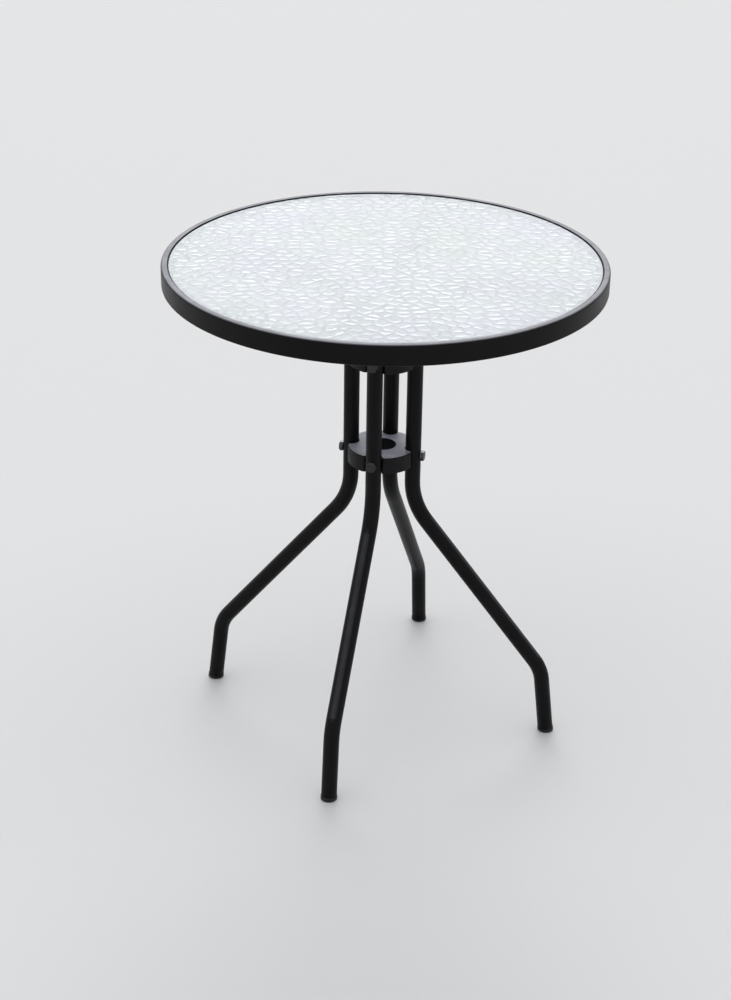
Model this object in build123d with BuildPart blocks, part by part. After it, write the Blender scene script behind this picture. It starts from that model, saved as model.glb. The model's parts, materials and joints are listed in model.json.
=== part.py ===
from build123d import *

import os
from math import cos, hypot, pi, radians, sin, sqrt, tan

# Round garden table: a glass pane in a roll-formed steel rim, on four bent tube legs.
# Each leg is one tube: foot, splay, upright and the arm that carries the glass.
# Two moulded hubs hold the four uprights together round a central bore.
# Millimetres, +Z up, origin on the floor below the table's middle, right leg along +X.

# Overall size
TOP_DIAMETER = 600.0
TABLE_HEIGHT = 700.0
LEGS = {"right": 0.0, "back": 90.0, "left": 180.0, "front": 270.0}

# Rim: one steel strip, seen in section from its bottom return to the ledge under the glass
RIM_SHEET = 1.2
RIM_HEIGHT = 28.0
RIM_FLANGE = 9.0
RIM_LEDGE = 10.0
RIM_RETURN = 5.0
RIM_OUTER_ROUND = 3.0
RIM_INNER_ROUND = 1.3
RIM_LEDGE_ROUND = 0.8
RIM_BOTTOM_ROUND = 2.0

# Glass pane and the gasket it lies in
GLASS_THICKNESS = 5.0
GLASS_RECESS = 1.5
GLASS_EDGE_ROUND = 0.8
GLASS_PLAY = 0.4
GASKET_THICKNESS = 1.0
GASKET_LIP = 0.5
GASKET_BELOW_GLASS_TOP = 1.0
GASKET_PLAY = 0.1
GASKET_CHAMFER = 0.8

# Leg tube and its bends, as corners of the centre line in radius and height
TUBE_DIAMETER = 22.0
TUBE_WALL = 1.2
SHOULDER_BEND = 85.0
HIP_HEIGHT = 343.0
HIP_BEND = 95.0
ANKLE_RADIUS = 244.0
ANKLE_HEIGHT = 101.5
ANKLE_BEND = 60.0
FOOT_LEAN = 6.9

# Foot caps: a plug in the tube and a collar cut level with the floor
CAP_COLLAR = 5.0
CAP_PROUD = 0.6
CAP_STEM = 20.0
CAP_STEM_WALL = 2.5
CAP_BARB = 1.6
CAP_BARB_DEPTH = 0.9
CAP_BARBS = 3
CAP_PLAY = 0.15
CAP_EDGE = 0.8

# Flattened arm ends and the brackets welded inside the rim
FLATTEN_LENGTH = 32.0
TAB_NECK = 16.0
TAB_SLIT = 0.3
BRACKET_SHEET = 2.5
BRACKET_WIDTH = 34.0
BRACKET_HOLE_INSET = 29.0
BRACKET_TOE = 16.0
BRACKET_CORNER = 8.0
BRACKET_BEND = 2.0
BRACKET_LEDGE_GAP = 2.0
WELD_GAP = 0.1

# Hubs: bore, wall from bore to tube, and moulded underside
HUB_BORE = 38.0
HUB_WALL = 15.0
HUB_LIP = 3.0
HUB_THICKNESS = 24.0
HUB_TOP_SKIN = 3.0
HUB_WEB = 3.0
HUB_RIB = 2.4
HUB_EDGE = 0.8
HUB_LIP_ROUND = 4.0
HUB_BOLT_RISE = 14.0
HUB_HEIGHTS = {"lower": 404.0, "upper": 553.5}
NOTCH_PLAY = 0.15

# Hub bolts and captive nuts, M8
HUB_BOLT = 8.0
HUB_BOLT_HEAD = 5.3
HUB_BOLT_FLATS = 13.0
HUB_BOLT_TIP = 0.7
HUB_NUT_HEIGHT = 6.8
HUB_NUT_COVER = 3.5
NUT_PLAY = 0.15

# Arm bolts, flat washers and weld nuts, M6
ARM_BOLT = 6.0
ARM_BOLT_HEAD = 4.0
ARM_BOLT_FLATS = 10.0
ARM_BOLT_TIP = 1.0
ARM_WASHER = 1.6
ARM_WASHER_DIAMETER = 12.0
BRACKET_NUT_HEIGHT = 5.0
BOLT_HOLE_PLAY = 0.3
THREAD_PLAY = 0.05
HEX_FACE = 0.95
HEX_CHAMFER = 30.0

# Suction pads between arms and glass
PAD_PLACE = 169.0
PAD_HEIGHT = 8.0
PAD_DIAMETER = 18.0
PAD_LIP = 1.2
PAD_HOLLOW = 1.5
PAD_WAIST = 9.0
PAD_FOOT = 2.0
PAD_STEM = 6.0
PAD_BARB = 7.4
PAD_STEM_LENGTH = 6.0
PAD_PLAY = 0.2

# Sizes that follow from the ones above
TOP_RADIUS = TOP_DIAMETER / 2
TUBE_RADIUS = TUBE_DIAMETER / 2
TUBE_BORE = TUBE_RADIUS - TUBE_WALL
RIM_INNER = TOP_RADIUS - RIM_FLANGE
SKIRT_INNER = TOP_RADIUS - RIM_SHEET
GLASS_TOP = TABLE_HEIGHT - GLASS_RECESS
GLASS_UNDERSIDE = GLASS_TOP - GLASS_THICKNESS
LEDGE_TOP = GLASS_UNDERSIDE - GASKET_THICKNESS
LEDGE_UNDERSIDE = LEDGE_TOP - RIM_SHEET
GASKET_OUTER = RIM_INNER - GASKET_PLAY
GASKET_INNER = RIM_INNER - RIM_LEDGE
GLASS_RADIUS = GASKET_OUTER - GASKET_LIP - GLASS_PLAY

NOTCH_RADIUS = TUBE_RADIUS + NOTCH_PLAY
UPRIGHT_RADIUS = HUB_BORE / 2 + HUB_WALL + NOTCH_RADIUS
HUB_RADIUS = UPRIGHT_RADIUS + HUB_LIP
HUB_BOLT_HEIGHTS = {name: base + HUB_BOLT_RISE for name, base in HUB_HEIGHTS.items()}
BOLT_SEAT = UPRIGHT_RADIUS + TUBE_RADIUS
NUT_FACE = UPRIGHT_RADIUS - TUBE_RADIUS - HUB_NUT_COVER
NUT_BACK = NUT_FACE - HUB_NUT_HEIGHT
HUB_BOLT_LENGTH = BOLT_SEAT - NUT_BACK + HUB_BOLT_TIP

ARM_HEIGHT = GLASS_UNDERSIDE - PAD_HEIGHT - TUBE_RADIUS
TAB_THICKNESS = 2 * TUBE_WALL
TAB_WIDTH = pi * (TUBE_DIAMETER - TUBE_WALL) / 2
TAB_HOLE = SKIRT_INNER - BRACKET_HOLE_INSET
TAB_START = TAB_HOLE - TAB_NECK
FLATTEN_START = TAB_START - FLATTEN_LENGTH
BRACKET_UNDERSIDE = ARM_HEIGHT + TAB_THICKNESS / 2
BRACKET_TOP = BRACKET_UNDERSIDE + BRACKET_SHEET
TAB_UNDERSIDE = ARM_HEIGHT - TAB_THICKNESS / 2
ARM_BOLT_LENGTH = ARM_WASHER + TAB_THICKNESS + BRACKET_SHEET + BRACKET_NUT_HEIGHT + ARM_BOLT_TIP

LEAN = radians(FOOT_LEAN)
FOOT_LENGTH = ANKLE_HEIGHT / cos(LEAN) - CAP_COLLAR
TUBE_END_RADIUS = ANKLE_RADIUS + FOOT_LENGTH * sin(LEAN)
TUBE_END_HEIGHT = ANKLE_HEIGHT - FOOT_LENGTH * cos(LEAN)


def outward(angle):
    """Unit vector from the table's axis towards a leg."""
    return Vector(cos(radians(angle)), sin(radians(angle)), 0)


def side_plane(angle, radius=0.0, height=0.0, lean=0.0):
    """Upright plane through a leg: local x runs outward and local y up, both tipped by lean."""
    out = outward(angle)
    x_dir = out * cos(lean) + Vector(0, 0, sin(lean))
    return Plane(origin=out * radius + Vector(0, 0, height), x_dir=x_dir, z_dir=(out.Y, -out.X, 0))


def facing_plane(angle, radius, height):
    """Plane that faces outward along a leg's direction: local x runs sideways and local y up."""
    out = outward(angle)
    return Plane(origin=out * radius + Vector(0, 0, height), x_dir=(-out.Y, out.X, 0), z_dir=out)


def level_plane(angle, radius, height):
    """Level plane on an arm: local x runs outward."""
    out = outward(angle)
    return Plane(origin=out * radius + Vector(0, 0, height), x_dir=out, z_dir=(0, 0, 1))


def hanging_plane(angle, radius, height):
    """Level plane that faces down below an arm."""
    out = outward(angle)
    return Plane(origin=out * radius + Vector(0, 0, height), x_dir=out, z_dir=(0, 0, -1))


def hex_bolt(size, flats, head, length):
    """One bolt on the level plane: shank down, and a head whose top is turned to a shallow cone."""
    face = HEX_FACE * flats / 2
    drop = (flats - face) * tan(radians(HEX_CHAMFER))
    with BuildPart() as bolt:
        with BuildSketch():
            RegularPolygon(flats / 2, 6, major_radius=False)
        extrude(amount=head)
        with BuildSketch(Plane.XZ):
            Polygon((0, 0), (flats, 0), (flats, head - drop), (face, head), (0, head), align=None)
        revolve(axis=Axis.Z, mode=Mode.INTERSECT)
        with BuildSketch():
            Circle(size / 2)
        extrude(amount=-length)
    return bolt.part


def save(piece, name):
    """Label a finished piece and write it."""
    piece.part.label = name
    export_step(piece.part, f"parts/{name}.step")


os.makedirs("parts", exist_ok=True)

# Rim: the strip's outer face, thickened inward, turned once round the table's axis
with BuildPart() as rim:
    with BuildSketch(Plane.XZ):
        with BuildLine():
            FilletPolyline(
                (TOP_RADIUS - RIM_RETURN, TABLE_HEIGHT - RIM_HEIGHT),
                (TOP_RADIUS, TABLE_HEIGHT - RIM_HEIGHT),
                (TOP_RADIUS, TABLE_HEIGHT),
                (RIM_INNER, TABLE_HEIGHT),
                (RIM_INNER, LEDGE_TOP),
                (RIM_INNER - RIM_LEDGE, LEDGE_TOP),
                radius=(RIM_BOTTOM_ROUND, RIM_OUTER_ROUND, RIM_INNER_ROUND, RIM_LEDGE_ROUND),
            )
            offset(amount=RIM_SHEET, side=Side.LEFT)
        make_face()
    revolve(axis=Axis.Z)
save(rim, "rim")

# Gasket: an angle strip that keeps the pane off the steel ledge and wall
with BuildPart() as gasket:
    with BuildSketch(Plane.XZ):
        with BuildLine():
            Polyline(
                (GASKET_INNER, LEDGE_TOP),
                (GASKET_OUTER - GASKET_CHAMFER, LEDGE_TOP),
                (GASKET_OUTER, LEDGE_TOP + GASKET_CHAMFER),
                (GASKET_OUTER, GLASS_TOP - GASKET_BELOW_GLASS_TOP),
                (GASKET_OUTER - GASKET_LIP, GLASS_TOP - GASKET_BELOW_GLASS_TOP),
                (GASKET_OUTER - GASKET_LIP, GLASS_UNDERSIDE),
                (GASKET_INNER, GLASS_UNDERSIDE),
                close=True,
            )
        make_face()
    revolve(axis=Axis.Z)
save(gasket, "glass_gasket")

# Glass pane: a plain disc with rounded edges
with BuildPart() as glass:
    with BuildSketch(Plane.XY.offset(GLASS_UNDERSIDE)):
        Circle(GLASS_RADIUS)
    extrude(amount=GLASS_THICKNESS)
    fillet(glass.edges().filter_by(GeomType.CIRCLE), GLASS_EDGE_ROUND)
save(glass, "glass_top")

# Legs: a bent tube whose upper end is pressed flat to a tab for the rim bracket
for side, angle in LEGS.items():
    with BuildPart() as leg:
        with BuildLine(side_plane(angle)):
            FilletPolyline(
                (FLATTEN_START, ARM_HEIGHT),
                (UPRIGHT_RADIUS, ARM_HEIGHT),
                (UPRIGHT_RADIUS, HIP_HEIGHT),
                (ANKLE_RADIUS, ANKLE_HEIGHT),
                (TUBE_END_RADIUS, TUBE_END_HEIGHT),
                radius=(SHOULDER_BEND, HIP_BEND, ANKLE_BEND),
            )
        with BuildSketch(facing_plane(angle, FLATTEN_START, ARM_HEIGHT)):
            Circle(TUBE_RADIUS)
            Circle(TUBE_BORE, mode=Mode.SUBTRACT)
        sweep()

        with BuildSketch(facing_plane(angle, FLATTEN_START, ARM_HEIGHT)):
            Circle(TUBE_RADIUS)
        with BuildSketch(facing_plane(angle, TAB_START, ARM_HEIGHT)):
            Rectangle(TAB_WIDTH, TAB_THICKNESS)
        loft()
        with BuildSketch(facing_plane(angle, FLATTEN_START, ARM_HEIGHT)):
            Circle(TUBE_BORE)
        with BuildSketch(facing_plane(angle, TAB_START, ARM_HEIGHT)):
            Rectangle(TAB_WIDTH - TAB_THICKNESS, TAB_SLIT)
        loft(mode=Mode.SUBTRACT)

        with BuildSketch(level_plane(angle, TAB_HOLE, TAB_UNDERSIDE)):
            Rectangle(TAB_NECK, TAB_WIDTH, align=(Align.MAX, Align.CENTER))
            Circle(TAB_WIDTH / 2)
        extrude(amount=TAB_THICKNESS)

        with Locations(level_plane(angle, TAB_HOLE, BRACKET_UNDERSIDE)):
            Hole(ARM_BOLT / 2 + BOLT_HOLE_PLAY, depth=TAB_THICKNESS)
        with Locations(level_plane(angle, PAD_PLACE, ARM_HEIGHT + TUBE_RADIUS)):
            Hole(PAD_STEM / 2 + PAD_PLAY, depth=TUBE_RADIUS)
        for height in HUB_BOLT_HEIGHTS.values():
            with Locations(facing_plane(angle, UPRIGHT_RADIUS + TUBE_RADIUS, height)):
                Hole(HUB_BOLT / 2 + BOLT_HOLE_PLAY, depth=TUBE_DIAMETER)
    save(leg, f"leg_{side}")

# Foot caps: a barbed plug turned about the foot's own axis, cut level at the floor
for side, angle in LEGS.items():
    cap_plane = side_plane(angle, TUBE_END_RADIUS, TUBE_END_HEIGHT, LEAN)
    cap_axis = Axis(cap_plane.origin, cap_plane.y_dir)
    stem_radius = TUBE_BORE - CAP_PLAY - CAP_BARB_DEPTH
    barb_pitch = CAP_STEM / (CAP_BARBS + 1)
    with BuildPart() as cap:
        with BuildSketch(cap_plane):
            with Locations((stem_radius, 0)):
                Rectangle(CAP_STEM_WALL, CAP_STEM, align=(Align.MAX, Align.MIN))
            with Locations(*[(stem_radius, barb_pitch * (i + 1)) for i in range(CAP_BARBS)]):
                Rectangle(2 * CAP_BARB_DEPTH, CAP_BARB)
            Rectangle(TUBE_RADIUS + CAP_PROUD, 2 * CAP_COLLAR, align=(Align.MIN, Align.MAX))
        revolve(axis=cap_axis)
        split(bisect_by=Plane.XY, keep=Keep.TOP)
        chamfer(cap.faces().sort_by(Axis.Z)[0].edges(), CAP_EDGE)
    save(cap, f"foot_cap_{side}")

# Hubs: notched round the uprights, cored from below, with slots for the captive nuts
for name, base in HUB_HEIGHTS.items():
    bolt_height = HUB_BOLT_HEIGHTS[name]
    slot_top = HUB_BOLT_RISE + HUB_BOLT_FLATS / sqrt(3) + NUT_PLAY
    boss_width = HUB_BOLT_FLATS + 2 * (NUT_PLAY + HUB_WEB)
    with BuildPart() as hub:
        with BuildSketch(Plane.XY.offset(base)):
            Circle(HUB_RADIUS)
            Circle(HUB_BORE / 2, mode=Mode.SUBTRACT)
            with PolarLocations(UPRIGHT_RADIUS, len(LEGS)):
                Circle(NOTCH_RADIUS, mode=Mode.SUBTRACT)
        extrude(amount=HUB_THICKNESS)
        upright_edges = hub.edges().filter_by(Axis.Z)
        lips = upright_edges.filter_by(lambda e: hypot(e.center().X, e.center().Y) > UPRIGHT_RADIUS)
        fillet(lips, HUB_LIP_ROUND)
        chamfer(hub.faces().sort_by(Axis.Z)[-1].edges(), HUB_EDGE)

        with BuildSketch(Plane.XY.offset(base)):
            Circle(HUB_RADIUS - HUB_WEB)
            Circle(HUB_BORE / 2 + HUB_WEB, mode=Mode.SUBTRACT)
            with PolarLocations(UPRIGHT_RADIUS, len(LEGS)):
                Circle(NOTCH_RADIUS + HUB_WEB, mode=Mode.SUBTRACT)
                Rectangle(2 * UPRIGHT_RADIUS, boss_width, mode=Mode.SUBTRACT)
            with PolarLocations(UPRIGHT_RADIUS, len(LEGS), start_angle=180 / len(LEGS)):
                Rectangle(2 * UPRIGHT_RADIUS, HUB_RIB, mode=Mode.SUBTRACT)
        extrude(amount=HUB_THICKNESS - HUB_TOP_SKIN, mode=Mode.SUBTRACT)

        for angle in LEGS.values():
            with BuildSketch(facing_plane(angle, NUT_FACE + NUT_PLAY, base)):
                Rectangle(HUB_BOLT_FLATS + 2 * NUT_PLAY, slot_top, align=(Align.CENTER, Align.MIN))
            extrude(amount=-HUB_NUT_HEIGHT - 2 * NUT_PLAY, mode=Mode.SUBTRACT)
            with Locations(facing_plane(angle, UPRIGHT_RADIUS, bolt_height)):
                Hole(HUB_BOLT / 2 + BOLT_HOLE_PLAY, depth=UPRIGHT_RADIUS - NUT_BACK + 2 * HUB_BOLT_TIP)
    save(hub, f"hub_{name}")

# Hub bolts and nuts, one per leg on each hub, with the bolt heads bearing on the tubes
for name, height in HUB_BOLT_HEIGHTS.items():
    with BuildPart() as hub_bolts:
        with Locations(*[facing_plane(angle, BOLT_SEAT, height) for angle in LEGS.values()]):
            add(hex_bolt(HUB_BOLT, HUB_BOLT_FLATS, HUB_BOLT_HEAD, HUB_BOLT_LENGTH))
    save(hub_bolts, f"hub_bolts_{name}")

    with BuildPart() as hub_nuts:
        for angle in LEGS.values():
            with BuildSketch(facing_plane(angle, NUT_FACE, height)):
                RegularPolygon(HUB_BOLT_FLATS / 2, 6, major_radius=False, rotation=30)
                Circle(HUB_BOLT / 2 + THREAD_PLAY, mode=Mode.SUBTRACT)
            extrude(amount=-HUB_NUT_HEIGHT)
    save(hub_nuts, f"hub_nuts_{name}")

# Rim brackets: bent steel tabs, their upright leg cut to the rim's curve
for side, angle in LEGS.items():
    with BuildPart() as bracket:
        with BuildSketch(side_plane(angle)):
            with BuildLine():
                FilletPolyline(
                    (TAB_HOLE - BRACKET_TOE, BRACKET_UNDERSIDE),
                    (SKIRT_INNER, BRACKET_UNDERSIDE),
                    (SKIRT_INNER, LEDGE_UNDERSIDE - BRACKET_LEDGE_GAP),
                    radius=BRACKET_BEND + BRACKET_SHEET,
                )
                offset(amount=BRACKET_SHEET, side=Side.LEFT)
            make_face()
        extrude(amount=BRACKET_WIDTH / 2, both=True)
        with BuildSketch(Plane.XY.offset(BRACKET_UNDERSIDE)):
            Circle(SKIRT_INNER - WELD_GAP)
        extrude(amount=TABLE_HEIGHT - BRACKET_UNDERSIDE, mode=Mode.INTERSECT)
        toe = bracket.edges().filter_by(Axis.Z).sort_by(Axis((0, 0, 0), outward(angle)))[:2]
        fillet(toe, BRACKET_CORNER)
        with Locations(level_plane(angle, TAB_HOLE, BRACKET_TOP)):
            Hole(ARM_BOLT / 2 + BOLT_HOLE_PLAY, depth=BRACKET_SHEET)
    save(bracket, f"rim_bracket_{side}")

# Arm bolts from below, with flat washers, into nuts welded on the brackets
with BuildPart() as arm_bolts:
    with Locations(*[hanging_plane(angle, TAB_HOLE, TAB_UNDERSIDE - ARM_WASHER) for angle in LEGS.values()]):
        add(hex_bolt(ARM_BOLT, ARM_BOLT_FLATS, ARM_BOLT_HEAD, ARM_BOLT_LENGTH))
save(arm_bolts, "arm_bolts")

with BuildPart() as arm_washers:
    for angle in LEGS.values():
        with BuildSketch(level_plane(angle, TAB_HOLE, TAB_UNDERSIDE - ARM_WASHER)):
            Circle(ARM_WASHER_DIAMETER / 2)
            Circle(ARM_BOLT / 2 + BOLT_HOLE_PLAY, mode=Mode.SUBTRACT)
        extrude(amount=ARM_WASHER)
save(arm_washers, "arm_washers")

with BuildPart() as bracket_nuts:
    for angle in LEGS.values():
        with BuildSketch(level_plane(angle, TAB_HOLE, BRACKET_TOP)):
            RegularPolygon(ARM_BOLT_FLATS / 2, 6, major_radius=False)
            Circle(ARM_BOLT / 2 + THREAD_PLAY, mode=Mode.SUBTRACT)
        extrude(amount=BRACKET_NUT_HEIGHT)
save(bracket_nuts, "bracket_nuts")

# Suction pads: a cup on a short neck, with a barbed stem pushed into the arm
for side, angle in LEGS.items():
    pad_plane = side_plane(angle, PAD_PLACE, ARM_HEIGHT + TUBE_RADIUS)
    cup_top = PAD_HEIGHT - PAD_PLAY
    barb_top = sqrt(TUBE_BORE**2 - (PAD_BARB / 2) ** 2) - TUBE_RADIUS - PAD_PLAY
    with BuildPart() as pad:
        with BuildSketch(pad_plane):
            with BuildLine():
                ThreePointArc((0, cup_top - PAD_HOLLOW),
                              (PAD_DIAMETER / 4, cup_top - PAD_HOLLOW * 3 / 4),
                              (PAD_DIAMETER / 2, cup_top))
                Polyline(
                    (PAD_DIAMETER / 2, cup_top),
                    (PAD_DIAMETER / 2, cup_top - PAD_LIP),
                    (PAD_WAIST / 2, PAD_FOOT),
                    (PAD_WAIST / 2, 0),
                    (PAD_STEM / 2, 0),
                    (PAD_STEM / 2, barb_top),
                    (PAD_BARB / 2, barb_top),
                    (PAD_STEM / 2, -PAD_STEM_LENGTH),
                    (0, -PAD_STEM_LENGTH),
                    (0, cup_top - PAD_HOLLOW),
                )
            make_face()
        revolve(axis=Axis(pad_plane.origin, (0, 0, 1)))
    save(pad, f"suction_pad_{side}")
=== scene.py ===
# %% [markdown]
# # A round garden table with a rippled glass top
# A black steel rim holds a loose pane of rippled glass. Four bent tubes are its legs and its arms,
# bolted into two moulded hubs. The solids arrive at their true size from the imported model, so this
# lesson gives them their finish, swaps the plain pane for a rippled one, and lights the result.

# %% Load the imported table
import json
from math import cos, pi, radians, sin

import bpy
import numpy as np
from mathutils import Matrix, Vector


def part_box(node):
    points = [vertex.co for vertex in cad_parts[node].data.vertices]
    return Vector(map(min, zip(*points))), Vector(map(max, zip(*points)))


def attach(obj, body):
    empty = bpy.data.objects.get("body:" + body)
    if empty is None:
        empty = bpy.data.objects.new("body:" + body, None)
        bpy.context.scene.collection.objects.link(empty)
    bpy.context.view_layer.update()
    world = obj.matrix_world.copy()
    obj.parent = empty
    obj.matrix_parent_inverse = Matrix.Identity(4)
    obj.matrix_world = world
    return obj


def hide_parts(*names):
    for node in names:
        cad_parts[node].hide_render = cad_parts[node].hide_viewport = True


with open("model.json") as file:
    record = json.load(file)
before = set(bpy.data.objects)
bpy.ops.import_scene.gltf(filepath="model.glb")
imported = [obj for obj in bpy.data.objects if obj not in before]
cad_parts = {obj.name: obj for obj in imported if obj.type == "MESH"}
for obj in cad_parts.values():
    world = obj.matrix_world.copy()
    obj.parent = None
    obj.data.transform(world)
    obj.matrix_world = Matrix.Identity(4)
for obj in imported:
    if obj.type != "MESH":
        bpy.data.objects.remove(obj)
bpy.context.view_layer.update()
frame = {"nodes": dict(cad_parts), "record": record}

scene = bpy.context.scene
scene.view_settings.view_transform = "Standard"
nodes = frame["nodes"]

# %% [markdown]
# ## The camera
# The photograph looks down on the table from standing height, a little to the right of the front leg.
# A camera could be placed by eye, but the rim is a circle of known size and the feet stand on one
# level, so place, aim, roll and lens follow from them. The long side of the picture sets the sensor.

# %% Place the camera
CAMERA_PLACE = Vector((0.6153, -2.3600, 1.5779))
CAMERA_AIM = Vector((-0.0214, -0.0058, 0.3393))
CAMERA_ROLL = radians(0.854)
CAMERA_LENS = 69.167
SENSOR_LONG_SIDE = 36.0

lens = bpy.data.cameras.new("photo_camera")
lens.lens = CAMERA_LENS
lens.sensor_width = SENSOR_LONG_SIDE
camera = bpy.data.objects.new("photo_camera", lens)
look = (CAMERA_AIM - CAMERA_PLACE).to_track_quat("-Z", "Y").to_matrix().to_4x4()
camera.matrix_world = Matrix.Translation(CAMERA_PLACE) @ look @ Matrix.Rotation(CAMERA_ROLL, 4, "Z")
scene.collection.objects.link(camera)
scene.camera = camera
print("camera", round((CAMERA_AIM - CAMERA_PLACE).length, 3), "m from the table's middle")

# %% [markdown]
# ## The floor and the light
# The table is shown on a plain pale floor. Its own light was a bright overcast sky: soft from above,
# brightest beyond the table, so level faces shine and upright ones stay dark. Softboxes would light the
# near floor more than the far one, so sun lamps, spread wide, stand for the high and the far cloud. Three
# small ones side by side are gaps in the far cloud, which the glass shows as bright dashes.

# %% Lay the floor
FLOOR_HALF = 14.0
FLOOR_COLOUR = (0.80, 0.80, 0.80, 1.0)
FLOOR_ROUGHNESS = 0.9
FLOOR_SHINE = 0.2


def plain_floor():
    """A wide level square under the feet."""
    mesh = bpy.data.meshes.new("floor")
    corners = [(-FLOOR_HALF, -FLOOR_HALF, 0), (FLOOR_HALF, -FLOOR_HALF, 0),
               (FLOOR_HALF, FLOOR_HALF, 0), (-FLOOR_HALF, FLOOR_HALF, 0)]
    mesh.from_pydata(corners, [], [(0, 1, 2, 3)])
    floor = bpy.data.objects.new("floor", mesh)
    scene.collection.objects.link(floor)
    paint = bpy.data.materials.new("floor_paint")
    paint.use_nodes = True
    shader = paint.node_tree.nodes["Principled BSDF"]
    shader.inputs["Base Color"].default_value = FLOOR_COLOUR
    shader.inputs["Roughness"].default_value = FLOOR_ROUGHNESS
    shader.inputs["Specular IOR Level"].default_value = FLOOR_SHINE
    mesh.materials.append(paint)
    return floor


floor = plain_floor()
print("floor", 2 * FLOOR_HALF, "m wide")

# %% Hang the lamps
SKY = {
    "high_cloud": {"bearing": -34.0, "height": 70.0, "spread": 110.0, "strength": 1.60},
    "far_cloud": {"bearing": -14.0, "height": 29.4, "spread": 47.0, "strength": 0.61},
    "left_gap": {"bearing": -26.0, "height": 38.5, "spread": 16.0, "strength": 0.172},
    "middle_gap": {"bearing": -14.5, "height": 38.5, "spread": 16.0, "strength": 0.172},
    "right_gap": {"bearing": -3.0, "height": 38.5, "spread": 16.0, "strength": 0.172},
}


def hang_sky(name, sky):
    """A sun lamp spread out, as a round patch of bright sky: bearing from +Y, height from level."""
    lamp = bpy.data.lights.new(name, "SUN")
    lamp.energy = sky["strength"]
    lamp.angle = radians(sky["spread"])
    holder = bpy.data.objects.new(name, lamp)
    turn = Matrix.Rotation(radians(-sky["bearing"]), 4, "Z")
    lift = Matrix.Rotation(radians(sky["height"]), 4, "X")
    holder.location = turn @ lift @ Vector((0.0, 1.0, 0.0))
    holder.rotation_mode = "QUATERNION"
    holder.rotation_quaternion = (-holder.location).to_track_quat("-Z", "Y")
    scene.collection.objects.link(holder)
    return holder


lamps = [hang_sky(name, sky) for name, sky in SKY.items()]
print("lamps", [lamp.name for lamp in lamps])

# %% [markdown]
# ## Building node trees in code
# A finish is a small tree of shader nodes. Three helpers keep the code short: one adds a node with its
# settings, one feeds a socket from a link or a plain value, and one opens a group with named sockets.

# %% Helpers for node trees
NUMBER = "NodeSocketFloat"
COLOUR = "NodeSocketColor"
MIX_SHARE, MIX_FIRST, MIX_SECOND, MIX_COLOUR_OUT = 0, 6, 7, 2


def add(tree, kind, values=None, **settings):
    """A new node with its settings, and with its inputs fed."""
    node = tree.nodes.new(kind)
    for key, value in settings.items():
        setattr(node, key, value)
    for key, value in (values or {}).items():
        feed(tree, value, node.inputs[key])
    return node


def feed(tree, source, socket):
    """Link an output to a socket, or write a plain value in it."""
    if isinstance(source, bpy.types.NodeSocket):
        tree.links.new(source, socket)
    else:
        socket.default_value = source


def mix_colours(tree, share, first, second):
    """The colour between two others."""
    node = add(tree, "ShaderNodeMix", data_type="RGBA")
    feed(tree, share, node.inputs[MIX_SHARE])
    feed(tree, first, node.inputs[MIX_FIRST])
    feed(tree, second, node.inputs[MIX_SECOND])
    return node.outputs[MIX_COLOUR_OUT]


def calculate(tree, operation, first, second):
    """A number worked out from two others."""
    return add(tree, "ShaderNodeMath", {0: first, 1: second}, operation=operation).outputs[0]


def stretch(tree, value, from_low, from_high, to_low=0.0, to_high=1.0):
    """A number carried from one range to another, and held inside it."""
    values = {"Value": value, "From Min": from_low, "From Max": from_high,
              "To Min": to_low, "To Max": to_high}
    return add(tree, "ShaderNodeMapRange", values).outputs["Result"]


def start_group(name, inputs, outputs):
    """An empty node group with its named sockets, and its two ends."""
    group = bpy.data.node_groups.new(name, "ShaderNodeTree")
    for label, kind, start in inputs:
        socket = group.interface.new_socket(label, in_out="INPUT", socket_type=kind)
        socket.default_value = start
    for label, kind in outputs:
        group.interface.new_socket(label, in_out="OUTPUT", socket_type=kind)
    return group, add(group, "NodeGroupInput").outputs, add(group, "NodeGroupOutput").inputs


print("helpers ready")

# %% [markdown]
# ## The surroundings
# A lamp alone leaves the shade black, so a pale room adds a little light from all round. What is seen
# straight, in a reflection or through glass is the room at full strength, about as bright as the floor, so
# that the horizon hardly shows. That needs two backgrounds, picked by the kind of ray, because a room that
# bright would wash out the paint.

# %% Set the surroundings
AMBIENT_COLOUR = (0.94, 0.96, 1.0, 1.0)
AMBIENT_STRENGTH = 0.28
BACKGROUND_COLOUR = (0.80, 0.80, 0.81, 1.0)
BACKGROUND_STRENGTH = 1.0

world = bpy.data.worlds.new("pale_room")
world.use_nodes = True
scene.world = world
room = world.node_tree
room.nodes.clear()
ambient = add(room, "ShaderNodeBackground", {"Color": AMBIENT_COLOUR, "Strength": AMBIENT_STRENGTH})
backdrop = add(room, "ShaderNodeBackground", {"Color": BACKGROUND_COLOUR, "Strength": BACKGROUND_STRENGTH})
ray = add(room, "ShaderNodeLightPath").outputs
mirrored = calculate(room, "MAXIMUM", ray["Is Camera Ray"], ray["Is Glossy Ray"])
seen = calculate(room, "MAXIMUM", mirrored, ray["Is Transmission Ray"])
pick = add(room, "ShaderNodeMixShader", {0: seen, 1: ambient.outputs[0], 2: backdrop.outputs[0]})
add(room, "ShaderNodeOutputWorld", {"Surface": pick.outputs[0]})
print("ambient", AMBIENT_STRENGTH, "background", BACKGROUND_STRENGTH)

# %% [markdown]
# ## Effects that several finishes share
# Real surfaces drift in tone, carry a fine sprayed or moulded texture, gather dust where they face up
# and get nicked. The dust mask also carries a painted sheen, the pale sky that level faces mirror. Each of
# these is built once as a node group with named sockets, so a finish only has to say how much of it there
# is. All patterns read object coordinates, which here are metres.

# %% Tone drift: two close tones in soft clouds
CLOUD_DETAIL = 4.0
CLOUD_ROUGHNESS = 0.6
CLOUD_LOW, CLOUD_HIGH = 0.32, 0.68


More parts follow.
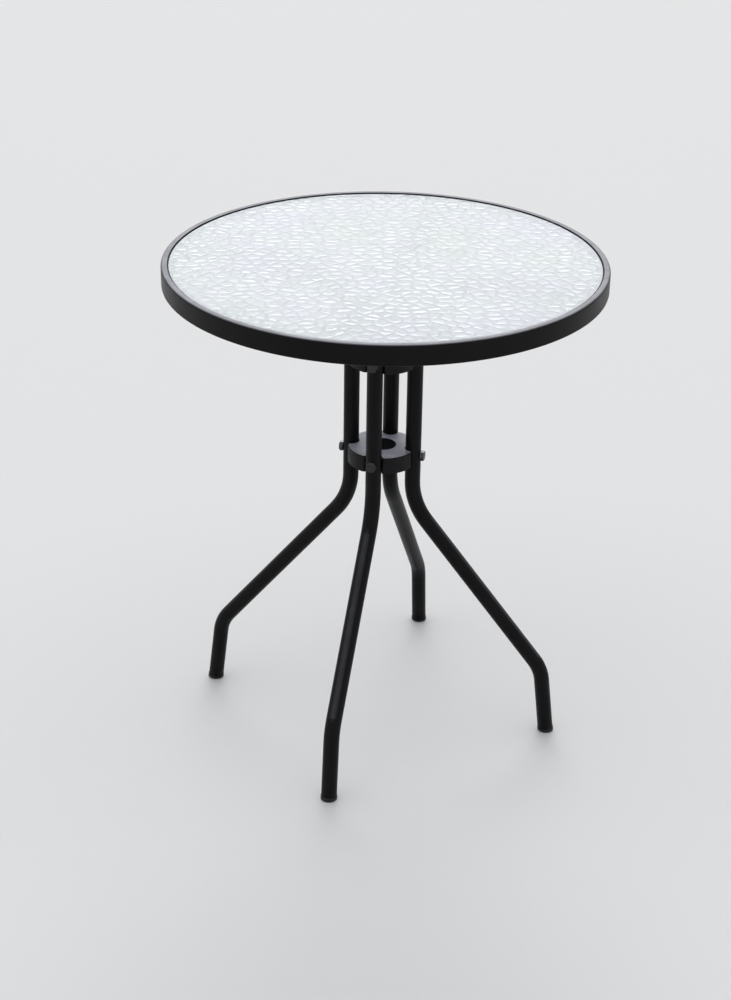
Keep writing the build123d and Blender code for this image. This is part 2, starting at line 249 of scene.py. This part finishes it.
def tone_drift_group():
    """Two close tones mixed by a soft cloud pattern, which is handed out too."""
    group, given, out = start_group(
        "tone_drift",
        [("Tone A", COLOUR, (0, 0, 0, 1)), ("Tone B", COLOUR, (1, 1, 1, 1)),
         ("Clouds per metre", NUMBER, 20.0)],
        [("Color", COLOUR), ("Cloud", NUMBER)],
    )
    place = add(group, "ShaderNodeTexCoord").outputs["Object"]
    cloud = add(group, "ShaderNodeTexNoise", {
        "Vector": place, "Scale": given["Clouds per metre"],
        "Detail": CLOUD_DETAIL, "Roughness": CLOUD_ROUGHNESS})
    share = stretch(group, cloud.outputs["Fac"], CLOUD_LOW, CLOUD_HIGH)
    feed(group, mix_colours(group, share, given["Tone A"], given["Tone B"]), out["Color"])
    feed(group, share, out["Cloud"])
    return group


TONE_DRIFT = tone_drift_group()
print("group", TONE_DRIFT.name)

# %% Fine texture: the pebbled skin of sprayed powder or moulded plastic
PEBBLE_DETAIL = 1.5
PEBBLE_ROUGHNESS = 0.45


def fine_texture_group():
    """A height that rises and falls in small rounded pebbles."""
    group, given, out = start_group(
        "fine_texture", [("Pebbles per metre", NUMBER, 800.0)], [("Height", NUMBER)])
    place = add(group, "ShaderNodeTexCoord").outputs["Object"]
    pebbles = add(group, "ShaderNodeTexNoise", {
        "Vector": place, "Scale": given["Pebbles per metre"],
        "Detail": PEBBLE_DETAIL, "Roughness": PEBBLE_ROUGHNESS})
    feed(group, pebbles.outputs["Fac"], out["Height"])
    return group


FINE_TEXTURE = fine_texture_group()
print("group", FINE_TEXTURE.name)

# %% Dust and painted sheen: a thin pale film on what faces up
DUST_AND_SHEEN_CLOUDS = 45.0
DUST_AND_SHEEN_DETAIL = 6.0
DUST_AND_SHEEN_THIN = 0.7


def dust_and_sheen_group():
    """A mask that grows as the surface turns up, broken by clouds: dust, and a painted sheen of the sky."""
    group, given, out = start_group(
        "dust_and_sheen", [("Steepest slope", NUMBER, 0.7), ("Amount", NUMBER, 0.2)], [("Mask", NUMBER)])
    facing = add(group, "ShaderNodeNewGeometry").outputs["Normal"]
    upward = add(group, "ShaderNodeSeparateXYZ", {"Vector": facing}).outputs["Z"]
    level = stretch(group, upward, given["Steepest slope"], 1.0)
    place = add(group, "ShaderNodeTexCoord").outputs["Object"]
    clouds = add(group, "ShaderNodeTexNoise", {
        "Vector": place, "Scale": DUST_AND_SHEEN_CLOUDS, "Detail": DUST_AND_SHEEN_DETAIL})
    patchy = stretch(group, clouds.outputs["Fac"], CLOUD_LOW, CLOUD_HIGH, DUST_AND_SHEEN_THIN, 1.0)
    # Painted sheen: this mask lays a pale film that stands for the bright sky on faces that turn up, as
    # well as dust.
    upward_patches = calculate(group, "MULTIPLY", level, patchy)
    feed(group, calculate(group, "MULTIPLY", upward_patches, given["Amount"]), out["Mask"])
    return group


DUST_AND_SHEEN = dust_and_sheen_group()
print("group", DUST_AND_SHEEN.name)

# %% Nicks: small chips where the surface was knocked
NICK_EDGE = 0.7


def nicks_group():
    """A mask of small ragged spots, with a chosen share of the cells hit."""
    group, given, out = start_group(
        "nicks",
        [("Cells per metre", NUMBER, 30.0), ("Spot size", NUMBER, 0.05), ("Share hit", NUMBER, 0.1)],
        [("Mask", NUMBER)],
    )
    place = add(group, "ShaderNodeTexCoord").outputs["Object"]
    cells = add(group, "ShaderNodeTexVoronoi", {"Vector": place, "Scale": given["Cells per metre"]})
    core = calculate(group, "MULTIPLY", given["Spot size"], NICK_EDGE)
    spot = stretch(group, cells.outputs["Distance"], core, given["Spot size"], 1.0, 0.0)
    draw = add(group, "ShaderNodeSeparateColor", {"Color": cells.outputs["Color"]}).outputs["Red"]
    hit = calculate(group, "LESS_THAN", draw, given["Share hit"])
    feed(group, calculate(group, "MULTIPLY", spot, hit), out["Mask"])
    return group


NICKS = nicks_group()
print("group", NICKS.name)

# %% [markdown]
# ## Finishes
# Every finish starts the same way: a Principled shader, a drift of tone in its colour, a gloss that
# follows the same clouds, and a bump from the fine texture. One helper does that, and each finish then
# adds dust with painted sheen, nicks or clearness of its own. Values that are even all over are set on the
# shader itself.

# %% Helpers for finishes


def use(tree, group, values):
    """Place a shared group in a finish with that finish's own values, and return its outputs."""
    node = tree.nodes.new("ShaderNodeGroup")
    node.node_tree = group
    for key, value in values.items():
        feed(tree, value, node.inputs[key])
    return node.outputs


def start_finish(name, tones, clouds, gloss, pebbles, bump):
    """A material with drifting tone and gloss and a fine bump, and its shader."""
    material = bpy.data.materials.new(name)
    material.use_nodes = True
    tree = material.node_tree
    shader = tree.nodes["Principled BSDF"]
    drift = use(tree, TONE_DRIFT, {"Tone A": tones[0], "Tone B": tones[1], "Clouds per metre": clouds})
    roughness = stretch(tree, drift["Cloud"], 0.0, 1.0, gloss[0], gloss[1])
    height = use(tree, FINE_TEXTURE, {"Pebbles per metre": pebbles})["Height"]
    relief = add(tree, "ShaderNodeBump", {"Height": height, "Strength": bump[0], "Distance": bump[1]})
    feed(tree, drift["Color"], shader.inputs["Base Color"])
    feed(tree, roughness, shader.inputs["Roughness"])
    feed(tree, relief.outputs["Normal"], shader.inputs["Normal"])
    return material, shader


def fed_by(shader, label):
    """The output that one of a shader's sockets is fed from."""
    return shader.inputs[label].links[0].from_socket


print("finish helpers ready")

# %% [markdown]
# ### Satin black powder coat
# Rim, legs and brackets are sprayed with powder that melts to a black skin with a slight orange peel.
# A flat black would look like a hole, so the tone drifts a little, dust and a painted sheen of the bright
# sky grey what faces up, and a few chips show pale primer. Its shine is weaker than bare plastic, which
# keeps the upright walls black.

# %% Powder coat
COAT_TONES = (0.0045, 0.0045, 0.0050, 1.0), (0.0075, 0.0075, 0.0085, 1.0)
COAT_CLOUDS = 14.0
COAT_GLOSS = 0.32, 0.42
COAT_PEBBLES = 750.0
COAT_BUMP = 0.25, 0.0002
COAT_SHINE = 0.10
# Dust and a painted sheen: this pale lavender film on what faces up stands for the bright sky that level
# paint mirrors.
COAT_DUST_AND_SHEEN = {"Steepest slope": 0.56, "Amount": 0.68}
COAT_DUST_AND_SHEEN_COLOUR = (0.44, 0.44, 0.50, 1.0)
COAT_NICKS = {"Cells per metre": 22.0, "Spot size": 0.022, "Share hit": 0.10}
COAT_PRIMER = (0.55, 0.55, 0.54, 1.0)


def powder_coat():
    """Black satin paint for the steel."""
    material, shader = start_finish(
        "powder_coat", COAT_TONES, COAT_CLOUDS, COAT_GLOSS, COAT_PEBBLES, COAT_BUMP)
    shader.inputs["Specular IOR Level"].default_value = COAT_SHINE
    tree, colour = material.node_tree, fed_by(shader, "Base Color")
    # Painted sheen with real dust: what faces up is greyed pale.
    dust_sheen_mask = use(tree, DUST_AND_SHEEN, COAT_DUST_AND_SHEEN)["Mask"]
    nicked = use(tree, NICKS, COAT_NICKS)["Mask"]
    dust_sheen_colour = mix_colours(tree, dust_sheen_mask, colour, COAT_DUST_AND_SHEEN_COLOUR)
    feed(tree, mix_colours(tree, nicked, dust_sheen_colour, COAT_PRIMER), shader.inputs["Base Color"])
    return material


POWDER_COAT = powder_coat()
print("finish", POWDER_COAT.name)

# %% [markdown]
# ### Moulded hub plastic, foot plastic and rubber
# The hubs are a grey-black plastic with a fine spark-eroded grain; a painted sheen of the sky, with a
# little dust, greys what faces up.
# The foot caps are softer black plastic, scuffed pale by the ground. The strip round the pane is plain
# black rubber, duller than both. They share the same tree and differ only in numbers.

# %% Plastics and rubber
HUB_TONES = (0.006, 0.006, 0.007, 1.0), (0.010, 0.010, 0.012, 1.0)
HUB_CLOUDS = 40.0
HUB_GLOSS = 0.44, 0.56
HUB_PEBBLES = 1400.0
HUB_BUMP = 0.3, 0.00015
HUB_SHINE = 0.14
# Painted sheen with some dust: a pale lavender film on the hub's top stands for the sky it mirrors.
HUB_DUST_AND_SHEEN = {"Steepest slope": 0.8, "Amount": 0.85}
HUB_DUST_AND_SHEEN_COLOUR = (0.56, 0.56, 0.64, 1.0)
CAP_TONES = (0.010, 0.010, 0.011, 1.0), (0.018, 0.018, 0.019, 1.0)
CAP_CLOUDS = 90.0
CAP_GLOSS = 0.45, 0.65
CAP_PEBBLES = 900.0
CAP_BUMP = 0.25, 0.0002
CAP_SHINE = 0.35
CAP_NICKS = {"Cells per metre": 160.0, "Spot size": 0.12, "Share hit": 0.15}
CAP_SCUFF = (0.12, 0.12, 0.115, 1.0)
RUBBER_TONES = (0.008, 0.008, 0.009, 1.0), (0.014, 0.014, 0.015, 1.0)
RUBBER_CLOUDS = 60.0
RUBBER_GLOSS = 0.6, 0.75
RUBBER_PEBBLES = 1200.0
RUBBER_BUMP = 0.2, 0.0002
RUBBER_SHINE = 0.3


def hub_plastic():
    """Grained grey-black plastic."""
    material, shader = start_finish(
        "hub_plastic", HUB_TONES, HUB_CLOUDS, HUB_GLOSS, HUB_PEBBLES, HUB_BUMP)
    shader.inputs["Specular IOR Level"].default_value = HUB_SHINE
    tree, colour = material.node_tree, fed_by(shader, "Base Color")
    # Painted sheen and dust greying what faces up.
    dust_sheen_mask = use(tree, DUST_AND_SHEEN, HUB_DUST_AND_SHEEN)["Mask"]
    feed(tree, mix_colours(tree, dust_sheen_mask, colour, HUB_DUST_AND_SHEEN_COLOUR), shader.inputs["Base Color"])
    return material


def foot_plastic():
    """Black plastic, scuffed by the ground."""
    material, shader = start_finish(
        "foot_plastic", CAP_TONES, CAP_CLOUDS, CAP_GLOSS, CAP_PEBBLES, CAP_BUMP)
    shader.inputs["Specular IOR Level"].default_value = CAP_SHINE
    tree, colour = material.node_tree, fed_by(shader, "Base Color")
    scuffed = use(tree, NICKS, CAP_NICKS)["Mask"]
    feed(tree, mix_colours(tree, scuffed, colour, CAP_SCUFF), shader.inputs["Base Color"])
    return material


def gasket_rubber():
    """Dull black rubber strip."""
    material, shader = start_finish(
        "gasket_rubber", RUBBER_TONES, RUBBER_CLOUDS, RUBBER_GLOSS, RUBBER_PEBBLES, RUBBER_BUMP)
    shader.inputs["Specular IOR Level"].default_value = RUBBER_SHINE
    return material


HUB_PLASTIC = hub_plastic()
FOOT_PLASTIC = foot_plastic()
GASKET_RUBBER = gasket_rubber()
print("finishes", HUB_PLASTIC.name, FOOT_PLASTIC.name, GASKET_RUBBER.name)

# %% [markdown]
# ### Dark bolts and bright nuts
# The bolts are black-plated steel: dark and satin, only half metallic, with the plating worn pale in spots
# and a pale film of dust and painted sheen on the facets that face up. The hidden nuts are zinc plated,
# so they are bright and faintly mottled. The mottling is the same tone drift at a much finer scale.

# %% Metals
BOLT_TONES = (0.020, 0.020, 0.021, 1.0), (0.034, 0.034, 0.035, 1.0)
BOLT_CLOUDS = 180.0
BOLT_GLOSS = 0.32, 0.46
BOLT_PEBBLES = 2200.0
BOLT_BUMP = 0.15, 0.0001
BOLT_METAL = 0.5
BOLT_NICKS = {"Cells per metre": 300.0, "Spot size": 0.15, "Share hit": 0.12}
BOLT_WORN = (0.42, 0.42, 0.42, 1.0)
# Dust and a painted sheen: the upturned facets are lightened as if catching the sky.
BOLT_DUST_AND_SHEEN = {"Steepest slope": 0.25, "Amount": 0.45}
BOLT_DUST_AND_SHEEN_COLOUR = (0.45, 0.45, 0.48, 1.0)
ZINC_TONES = (0.50, 0.50, 0.51, 1.0), (0.66, 0.66, 0.67, 1.0)
ZINC_CLOUDS = 400.0
ZINC_GLOSS = 0.28, 0.42
ZINC_PEBBLES = 2600.0
ZINC_BUMP = 0.12, 0.0001
ZINC_METAL = 1.0


def bolt_steel():
    """Dark plated steel, worn in spots."""
    material, shader = start_finish(
        "bolt_steel", BOLT_TONES, BOLT_CLOUDS, BOLT_GLOSS, BOLT_PEBBLES, BOLT_BUMP)
    shader.inputs["Metallic"].default_value = BOLT_METAL
    tree, colour = material.node_tree, fed_by(shader, "Base Color")
    # Painted sheen with dust on the facets that face up.
    dust_sheen_mask = use(tree, DUST_AND_SHEEN, BOLT_DUST_AND_SHEEN)["Mask"]
    worn = use(tree, NICKS, BOLT_NICKS)["Mask"]
    dust_sheen_colour = mix_colours(tree, dust_sheen_mask, colour, BOLT_DUST_AND_SHEEN_COLOUR)
    feed(tree, mix_colours(tree, worn, dust_sheen_colour, BOLT_WORN), shader.inputs["Base Color"])
    return material


def nut_steel():
    """Bright zinc plate."""
    material, shader = start_finish(
        "nut_steel", ZINC_TONES, ZINC_CLOUDS, ZINC_GLOSS, ZINC_PEBBLES, ZINC_BUMP)
    shader.inputs["Metallic"].default_value = ZINC_METAL
    return material


BOLT_STEEL = bolt_steel()
NUT_STEEL = nut_steel()
print("finishes", BOLT_STEEL.name, NUT_STEEL.name)

# %% [markdown]
# ### Clear suction pads
# Four soft clear cups keep the pane off the arms. Clear vinyl is never quite clear: it is a little
# milky and scatters light, which is why the pads read as pale spots through the glass. A little under
# half of the light goes through, and the rest is scattered white.

# %% Clear soft plastic
PAD_TONES = (0.80, 0.83, 0.84, 1.0), (0.90, 0.92, 0.92, 1.0)
PAD_CLOUDS = 220.0
PAD_GLOSS = 0.18, 0.32
PAD_PEBBLES = 600.0
PAD_BUMP = 0.1, 0.0002
PAD_CLEARNESS = 0.45
PAD_IOR = 1.5


def clear_pad():
    """Milky clear vinyl."""
    material, shader = start_finish(
        "clear_pad", PAD_TONES, PAD_CLOUDS, PAD_GLOSS, PAD_PEBBLES, PAD_BUMP)
    shader.inputs["Transmission Weight"].default_value = PAD_CLEARNESS
    shader.inputs["IOR"].default_value = PAD_IOR
    return material


CLEAR_PAD = clear_pad()
print("finish", CLEAR_PAD.name)

# %% [markdown]
# ### Rippled glass
# The pane is tempered glass, cast with ripples on its top face. Looked at steeply, it lets the arms show
# through. Looked at along the surface, as here, it mirrors a bright sky and turns pale. One clear shader
# and one pale one, mixed by how far the surface turns from the eye, give both: the pale shader's colour is
# partly a real milkiness and partly a painted reflection of that sky. The tint drifts from the green of
# thick glass to the lavender of the sky, which is painted reflection too.

# %% Glass
GLASS_TONES = (0.78, 0.84, 0.82, 1.0), (0.82, 0.82, 0.90, 1.0)
GLASS_CLOUDS = 9.0
GLASS_GLOSS = 0.07, 0.13
GLASS_PEBBLES = 260.0
GLASS_BUMP = 0.05, 0.0004
GLASS_CLEARNESS = 0.90
GLASS_IOR = 1.5
GLASS_TURN = 0.68
# Pale tones, partly milkiness and partly a painted reflection of the sky.
MILK_AND_SKY_TONES = (0.38, 0.45, 0.435, 1.0), (0.395, 0.42, 0.495, 1.0)
MILK_SHINE = 0.5


def rippled_glass():
    """Clear glass that turns pale as the surface turns from the eye: partly milky, partly painted sky
    reflection.
    """
    material, clear = start_finish(
        "rippled_glass", GLASS_TONES, GLASS_CLOUDS, GLASS_GLOSS, GLASS_PEBBLES, GLASS_BUMP)
    clear.inputs["Transmission Weight"].default_value = GLASS_CLEARNESS
    clear.inputs["IOR"].default_value = GLASS_IOR
    tree = material.node_tree
    # Painted reflection: a pale diffuse colour stands for the sky mirrored at grazing views, with some real
    # milkiness.
    milk_and_sky = use(tree, TONE_DRIFT, {
        "Tone A": MILK_AND_SKY_TONES[0], "Tone B": MILK_AND_SKY_TONES[1], "Clouds per metre": GLASS_CLOUDS})["Color"]
    milky_and_sky = add(tree, "ShaderNodeBsdfPrincipled", {
        "Base Color": milk_and_sky, "Roughness": fed_by(clear, "Roughness"), "Normal": fed_by(clear, "Normal"),
        "IOR": GLASS_IOR, "Specular IOR Level": MILK_SHINE})
    turned = add(tree, "ShaderNodeLayerWeight", {"Blend": GLASS_TURN}).outputs["Facing"]
    both = add(tree, "ShaderNodeMixShader", {0: turned, 1: clear.outputs[0], 2: milky_and_sky.outputs[0]})
    feed(tree, both.outputs[0], tree.nodes["Material Output"].inputs["Surface"])
    return material


RIPPLED_GLASS = rippled_glass()
print("finish", RIPPLED_GLASS.name)

# %% [markdown]
# ## The rim
# The rim is one steel strip, rolled to a section with four right-angle bends and then curled to a ring.
# The imported mesh of it has long slanted triangles on its rounded edges, which make the edge of the dust
# and painted sheen look like a saw. So the same section, in the imported part's sizes, is turned again here
# in even steps.
# Weighted normals keep the flats flat and let only the rounds shade as curves.

# %% Bend the strip's section
rim_low, rim_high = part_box("rim")
RIM_RADIUS = rim_high.x
RIM_SHEET = 0.0012
RIM_RETURN = 0.0050
RIM_FLANGE = 0.0090
RIM_LEDGE = 0.0100
LEDGE_DROP = 0.0075
RIM_ROUNDS = 0.0020, 0.0030, 0.0013, 0.0008
ROUND_STEPS = 8


def to_left(way):
    """The direction a quarter turn to the left of another, in the section."""
    return Vector((-way.y, way.x))


def strip_section():
    """The strip's outer face as radius and height, bent at each corner, then its inner face back."""
    opening = RIM_RADIUS - RIM_FLANGE
    bottom, top = rim_low.z, rim_high.z
    corners = [Vector(corner) for corner in (
        (RIM_RADIUS - RIM_RETURN, bottom), (RIM_RADIUS, bottom), (RIM_RADIUS, top),
        (opening, top), (opening, top - LEDGE_DROP), (opening - RIM_LEDGE, top - LEDGE_DROP))]
    ways = [(after - before).normalized() for before, after in zip(corners, corners[1:])]
    outer = [(corners[0], to_left(ways[0]))]
    for corner, come, go, bend in zip(corners[1:], ways, ways[1:], RIM_ROUNDS):
        turn = come.cross(go)
        centre = corner - bend * come + turn * bend * to_left(come)
        for step in range(ROUND_STEPS + 1):
            left = Matrix.Rotation(turn * step / ROUND_STEPS * pi / 2, 2) @ to_left(come)
            outer.append((centre - turn * bend * left, left))
    outer.append((corners[-1], to_left(ways[-1])))
    return [p for p, left in outer] + [p + RIM_SHEET * left for p, left in reversed(outer)]


print("strip section of", len(strip_section()), "points")

# %% Turn the rim
RIM_STEPS = 360
RIM_CREASE = radians(40)


def rim_mesh():
    """The section turned once round the table's axis."""
    section = strip_section()
    count = len(section)
    points = []
    for step in range(RIM_STEPS):
        turn = 2 * pi * step / RIM_STEPS
        points += [(p.x * cos(turn), p.x * sin(turn), p.y) for p in section]
    faces = []
    for step in range(RIM_STEPS):
        here, there = step * count, (step + 1) % RIM_STEPS * count
        for i in range(count):
            n = (i + 1) % count
            faces.append((here + i, there + i, there + n, here + n))
    mesh = bpy.data.meshes.new("rim_ring")
    mesh.from_pydata(points, [], faces)
    mesh.shade_smooth()
    mesh.set_sharp_from_angle(angle=RIM_CREASE)
    return mesh


rim = bpy.data.objects.new("rim_ring", rim_mesh())
scene.collection.objects.link(rim)
rim.modifiers.new("even_shading", "WEIGHTED_NORMAL").keep_sharp = True
rim.data.materials.append(POWDER_COAT)
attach(rim, "frame")
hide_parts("rim")
print("rim_ring", len(rim.data.polygons), "faces")

# %% [markdown]
# ## The rippled pane
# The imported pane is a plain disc. The real one was cast against a hammered roller, so its top is a net of
# raised flats with shallow grooves between them, in rows laid across the camera's line of sight. A bump
# map would fake that, but the grooves catch the sky by their slope, so a fine mesh is cut. Rings of six,
# twelve, eighteen points and so on fill a disc with triangles of about one size.

# %% Measure the pane and fill a disc with rings of points
pane_low, pane_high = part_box("glass_top")
PANE_RADIUS = (pane_high.x - pane_low.x) / 2
PANE_EDGE_ROUND = 0.0008
RING_COUNT = 160
EDGE_ARC_STEPS = 4
UNDERSIDE_RINGS = (0.75, 0.5, 0.25)


def ring_point(ring, step):
    """Index of a point on a ring, counted from the middle."""
    return 0 if ring == 0 else 1 + 3 * ring * (ring - 1) + step % (6 * ring)


def disc_points(radius):
    """The middle and evenly spaced rings round it."""
    points = [(0.0, 0.0)]
    for ring in range(1, RING_COUNT + 1):
        turn = np.arange(6 * ring) * 2 * pi / (6 * ring)
        reach = radius * ring / RING_COUNT
        points += zip((reach * np.cos(turn)).tolist(), (reach * np.sin(turn)).tolist())
    return np.array(points)


def disc_faces():
    """Triangles between each ring and the one inside it, sixth by sixth."""
    faces = []
    for ring in range(1, RING_COUNT + 1):
        for sixth in range(6):
            for i in range(ring):
                near, far = ring_point(ring, sixth * ring + i), ring_point(ring, sixth * ring + i + 1)
                inner = ring_point(ring - 1, sixth * (ring - 1) + i)
                faces.append((near, far, inner))
                if i < ring - 1:
                    faces.append((inner, far, ring_point(ring - 1, sixth * (ring - 1) + i + 1)))
    return faces


print("pane", round(2 * PANE_RADIUS, 4), "m across with", 6 * RING_COUNT**2, "faces on top")

# %% Ripple heights
RIPPLE_CELL = np.array([0.0200, 0.0145])
RIPPLE_TURN = radians(14.6)
RIPPLE_DEPTH = 0.00070
RIPPLE_WALL = 0.0040
RIPPLE_SCATTER = 0.75
RIPPLE_SEED = 7
RIPPLE_FADE = 3 * PANE_EDGE_ROUND
CELLS_ROUND = 2
HALF_CELL = 0.5
LEAST_APART = 1e-9


def ripple_depth(points):
    """How far each point lies below the flats: grooves run along the borders of scattered cells."""
    turned = np.array(Matrix.Rotation(-RIPPLE_TURN, 2))
    points = points @ turned.T
    home = np.floor(points / RIPPLE_CELL).astype(int)
    span = int(np.abs(home).max()) + CELLS_ROUND + 1
    draws = np.random.default_rng(RIPPLE_SEED).random((2 * span + 1, 2 * span + 1, 2))
    shift = RIPPLE_SCATTER * (draws - HALF_CELL)
    centres = []
    for i in range(-CELLS_ROUND, CELLS_ROUND + 1):
        for j in range(-CELLS_ROUND, CELLS_ROUND + 1):
            cell = home + np.array([i, j])
            stagger = np.stack([HALF_CELL * (cell[:, 1] % 2), np.full(len(cell), HALF_CELL)], axis=-1)
            centres.append(RIPPLE_CELL * (cell + stagger + shift[cell[:, 0] + span, cell[:, 1] + span]))
    centres = np.stack(centres, axis=1)
    reach = ((points[:, None] - centres) ** 2).sum(axis=-1)
    nearest = reach.argmin(axis=1)[:, None]
    own = np.take_along_axis(centres, nearest[..., None], axis=1)
    apart = np.linalg.norm(centres - own, axis=-1)
    border = (reach - np.take_along_axis(reach, nearest, axis=1)) / np.maximum(2 * apart, LEAST_APART)
    border = np.where(apart > 0, border, np.inf).min(axis=1)
    wall = np.clip(border / RIPPLE_WALL, 0, 1)
    return RIPPLE_DEPTH * (1 - wall**2 * (3 - 2 * wall))


print("ripples", RIPPLE_CELL.tolist(), "m apart and", RIPPLE_DEPTH, "m deep")

# %% Cut the pane


def pane_mesh():
    """A closed disc: rippled top, rounded edge and flat underside."""
    inner = PANE_RADIUS - PANE_EDGE_ROUND
    flat = disc_points(inner)
    fade = np.clip((inner - np.linalg.norm(flat, axis=-1)) / RIPPLE_FADE, 0, 1)
    heights = pane_high.z - ripple_depth(flat) * fade
    points = [(*p, z) for p, z in zip(flat.tolist(), heights.tolist())]
    faces = disc_faces()
    border = [ring_point(RING_COUNT, step) for step in range(6 * RING_COUNT)]
    unit = flat[border] / inner

    turns = np.linspace(0, pi / 2, EDGE_ARC_STEPS + 1)[1:]
    profile = [(inner + PANE_EDGE_ROUND * np.sin(t), pane_high.z - PANE_EDGE_ROUND * (1 - np.cos(t)))
               for t in turns]
    profile += [(r, pane_low.z + pane_high.z - z) for r, z in reversed(profile)]
    profile += [(inner, pane_low.z)] + [(share * inner, pane_low.z) for share in UNDERSIDE_RINGS]
    ring = border
    for radius, z in profile:
        first = len(points)
        points += [(*p, z) for p in (unit * radius).tolist()]
        lower = list(range(first, first + len(border)))
        for k in range(len(border)):
            n = (k + 1) % len(border)
            faces.append((ring[n], ring[k], lower[k], lower[n]))
        ring = lower
    points.append((0.0, 0.0, pane_low.z))
    middle = len(points) - 1
    faces += [(ring[(k + 1) % len(ring)], ring[k], middle) for k in range(len(ring))]

    mesh = bpy.data.meshes.new("glass_pane")
    mesh.from_pydata(points, [], faces)
    mesh.shade_smooth()
    mesh.validate()
    return mesh


pane = bpy.data.objects.new("glass_pane", pane_mesh())
scene.collection.objects.link(pane)
pane.data.materials.append(RIPPLED_GLASS)
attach(pane, "pane")
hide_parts("glass_top")
print("glass_pane", len(pane.data.polygons), "faces")

# %% [markdown]
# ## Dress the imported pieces
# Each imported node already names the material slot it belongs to, so the finishes are handed out by that
# name. Nothing is moved: only the material in the slot changes.

# %% Hand out the finishes
FINISHES = {
    "powder_coat": POWDER_COAT, "rippled_glass": RIPPLED_GLASS, "gasket_rubber": GASKET_RUBBER,
    "foot_plastic": FOOT_PLASTIC, "hub_plastic": HUB_PLASTIC, "bolt_steel": BOLT_STEEL,
    "nut_steel": NUT_STEEL, "clear_pad": CLEAR_PAD,
}

for subpart in frame["record"]["subparts"]:
    piece = nodes[subpart["node"]]
    piece.data.materials.clear()
    piece.data.materials.append(FINISHES[subpart["material_slot"]])
